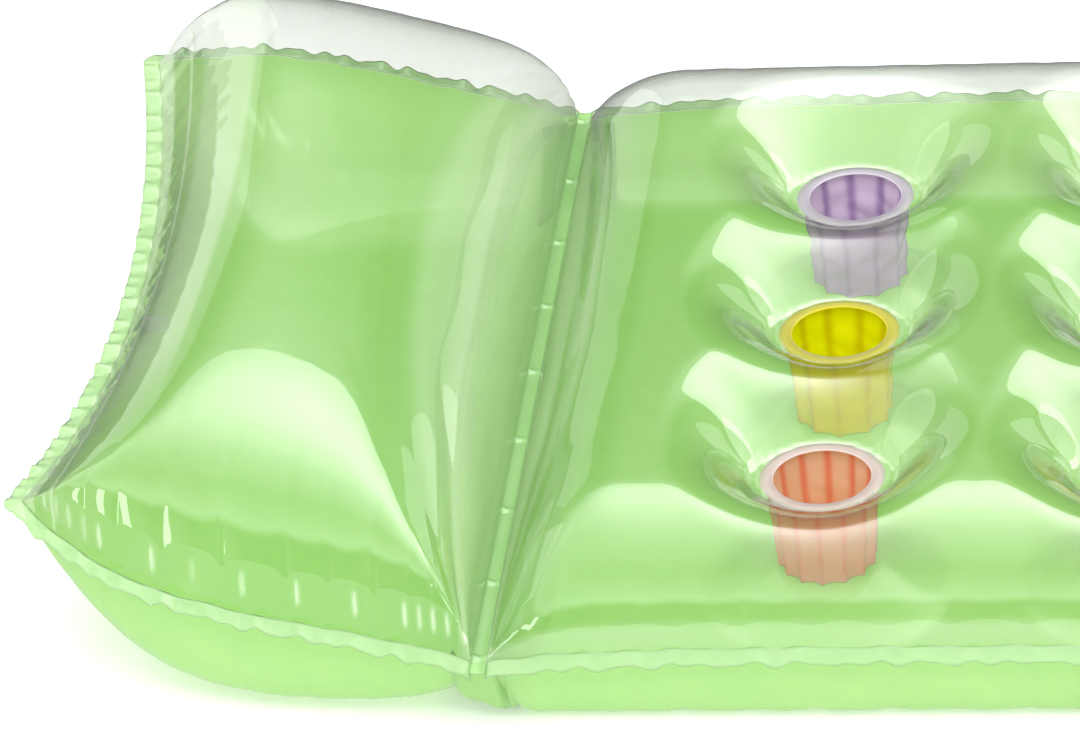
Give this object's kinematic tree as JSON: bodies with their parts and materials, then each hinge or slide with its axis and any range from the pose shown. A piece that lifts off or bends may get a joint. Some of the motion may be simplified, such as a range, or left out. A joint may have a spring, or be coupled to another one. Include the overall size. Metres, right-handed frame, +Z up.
{
  "type": "pool air mattress",
  "caption": "Inflatable lounge with a pillow chamber, a clear top over a tinted base and rows of coloured cup pockets.",
  "frame": {"origin": "on the floor under the middle of the whole mattress", "axes": "+X from the pillow to the foot end, +Y to the far side in the picture, +Z up"},
  "size_m": [1.8008, 0.71, 0.1978],
  "materials": {
    "clear_film": "clear glossy vinyl film",
    "green_film": "tinted glossy vinyl film",
    "purple_cup": "glossy vinyl",
    "yellow_cup": "glossy vinyl",
    "red_cup": "glossy vinyl",
    "valve_plastic": "soft milky vinyl"
  },
  "bodies": {
    "main_chamber": {"main_top_panel_1": "clear_film", "main_top_panel_2": "clear_film", "main_top_panel_3": "clear_film", "main_top_panel_4": "clear_film", "main_top_panel_5": "clear_film", "main_top_panel_6": "clear_film", "main_bottom_sheet": "green_film", "fold_weld_strip": "green_film", "pocket_cup_near_1_red": "red_cup", "pocket_cup_middle_1_yellow": "yellow_cup", "pocket_cup_far_1_purple": "purple_cup", "pocket_cup_near_2_red": "red_cup", "pocket_cup_middle_2_yellow": "yellow_cup", "pocket_cup_far_2_purple": "purple_cup", "pocket_cup_near_3_red": "red_cup", "pocket_cup_middle_3_yellow": "yellow_cup", "pocket_cup_far_3_purple": "purple_cup", "pocket_cup_near_4_red": "red_cup", "pocket_cup_middle_4_yellow": "yellow_cup", "pocket_cup_far_4_purple": "purple_cup", "pocket_cup_near_5_red": "red_cup", "pocket_cup_middle_5_yellow": "yellow_cup", "pocket_cup_far_5_purple": "purple_cup", "pocket_cup_near_6_red": "red_cup", "pocket_cup_middle_6_yellow": "yellow_cup", "pocket_cup_far_6_purple": "purple_cup", "main_valve_collar": "valve_plastic"},
    "pillow_chamber": {"pillow_top_sheet": "clear_film", "pillow_bottom_sheet": "green_film", "pillow_valve_collar": "valve_plastic"},
    "main_valve_stem": {"main_valve_stem": "valve_plastic"},
    "main_valve_stopper": {"main_valve_stopper": "valve_plastic"},
    "main_valve_flap": {"main_valve_flap": "valve_plastic"},
    "pillow_valve_stem": {"pillow_valve_stem": "valve_plastic"},
    "pillow_valve_stopper": {"pillow_valve_stopper": "valve_plastic"},
    "pillow_valve_flap": {"pillow_valve_flap": "valve_plastic"}
  },
  "joints": [
    {"name": "pillow_fold", "type": "hinge", "parent": "main_chamber", "child": "pillow_chamber", "pos_m": [-0.59875, 0, 0.055], "axis": [0, 1, 0], "range_deg": [-20, 30]},
    {"name": "main_valve_push", "type": "slide", "parent": "main_chamber", "child": "main_valve_stem", "axis": [0, 0, 1], "range_m": [0, 0.009]},
    {"name": "main_stopper_hinge", "type": "hinge", "parent": "main_valve_stem", "child": "main_valve_stopper", "pos_m": [0.81712, -0.0105, 0.1308], "axis": [1, 0, 0], "range_deg": [0, 150]},
    {"name": "main_flap_hinge", "type": "hinge", "parent": "main_valve_stem", "child": "main_valve_flap", "pos_m": [0.81712, 0.0056, 0.1098], "axis": [1, 0, 0], "range_deg": [0, 60], "stiffness_Nm_per_rad": 0.0002},
    {"name": "pillow_valve_push", "type": "slide", "parent": "pillow_chamber", "child": "pillow_valve_stem", "axis": [-1, 0, 0], "range_m": [0, 0.009]},
    {"name": "pillow_stopper_hinge", "type": "hinge", "parent": "pillow_valve_stem", "child": "pillow_valve_stopper", "pos_m": [-0.86392, -0.0105, 0.09716], "axis": [0, 0, 1], "range_deg": [0, 150]},
    {"name": "pillow_flap_hinge", "type": "hinge", "parent": "pillow_valve_stem", "child": "pillow_valve_flap", "pos_m": [-0.84292, 0.0056, 0.09716], "axis": [0, 0, 1], "range_deg": [0, 60], "stiffness_Nm_per_rad": 0.0002}
  ]
}
